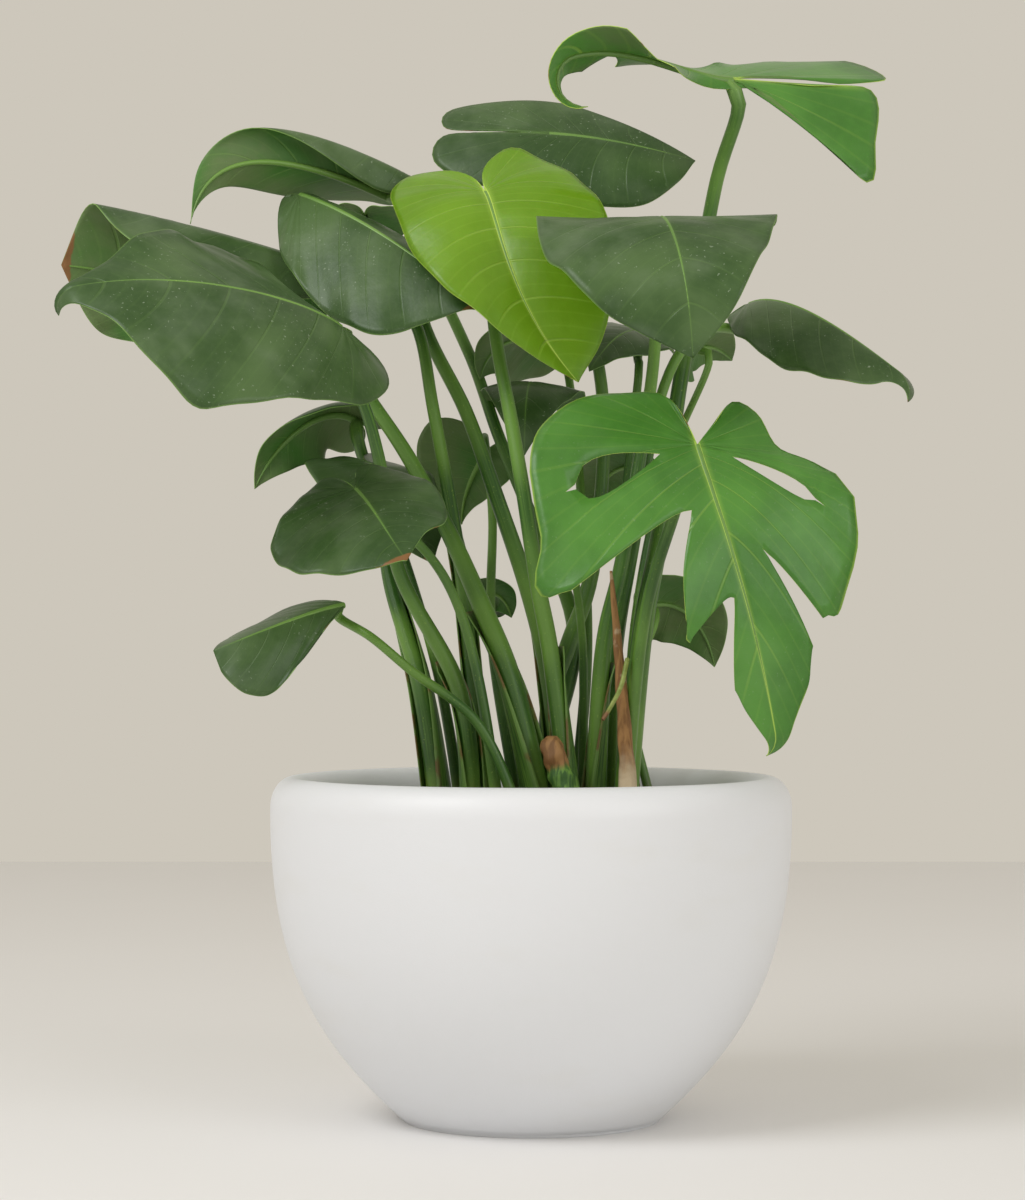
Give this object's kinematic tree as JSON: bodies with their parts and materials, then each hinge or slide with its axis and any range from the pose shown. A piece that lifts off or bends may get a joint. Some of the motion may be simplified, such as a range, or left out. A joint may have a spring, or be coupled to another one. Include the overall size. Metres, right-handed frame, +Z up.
{
  "type": "potted monstera plant",
  "caption": "Swiss cheese plant with heart-shaped and split leaves on long upright stalks, growing in a wide round white bowl planter with a thick rolled lip.",
  "frame": {"origin": "middle of the planter's flat underside, on the surface that it stands on", "axes": "+Z up, -Y towards the front of the plant, +X to the right as seen from the front"},
  "size_m": [0.6477, 0.4222, 0.8297],
  "materials": {
    "planter": "matte",
    "soil": "matte",
    "leaf_dark": "satin",
    "leaf_mid": "satin",
    "leaf_young": "satin",
    "stalk": "satin",
    "dry_bark": "matte",
    "aerial_root": "satin"
  },
  "bodies": {
    "root": {"planter": "planter", "soil": "soil", "leaf_back_mid": "leaf_dark", "leaf_back_right": "leaf_dark", "leaf_back_small": "leaf_dark", "leaf_behind_heart": "leaf_dark", "leaf_behind_split": "leaf_dark", "leaf_curled_left": "leaf_dark", "leaf_dark_left": "leaf_dark", "leaf_dark_right": "leaf_dark", "leaf_far_left": "leaf_dark", "leaf_front_left": "leaf_dark", "leaf_heart_low": "leaf_dark", "leaf_low_left": "leaf_dark", "leaf_low_mid": "leaf_dark", "leaf_low_right": "leaf_dark", "leaf_pale_mid": "leaf_mid", "leaf_right": "leaf_dark", "leaf_small_dark": "leaf_dark", "leaf_split_front": "leaf_mid", "leaf_split_top": "leaf_mid", "leaf_top_back": "leaf_dark", "leaf_top_left": "leaf_dark", "leaf_upper_back": "leaf_dark", "leaf_young": "leaf_young", "stalk_back_mid": "stalk", "stalk_back_right": "stalk", "stalk_back_small": "stalk", "stalk_behind_heart": "stalk", "stalk_behind_split": "stalk", "stalk_curled_left": "stalk", "stalk_dark_left": "stalk", "stalk_dark_right": "stalk", "stalk_far_left": "stalk", "stalk_front_left": "stalk", "stalk_heart_low": "stalk", "stalk_low_left": "stalk", "stalk_low_mid": "stalk", "stalk_low_right": "stalk", "stalk_pale_mid": "stalk", "stalk_right": "stalk", "stalk_small_dark": "stalk", "stalk_split_front": "stalk", "stalk_split_top": "stalk", "stalk_top_back": "stalk", "stalk_top_left": "stalk", "stalk_upper_back": "stalk", "stalk_young": "stalk", "stump": "dry_bark", "old_sheath": "dry_bark", "aerial_root": "aerial_root"}
  },
  "joints": []
}
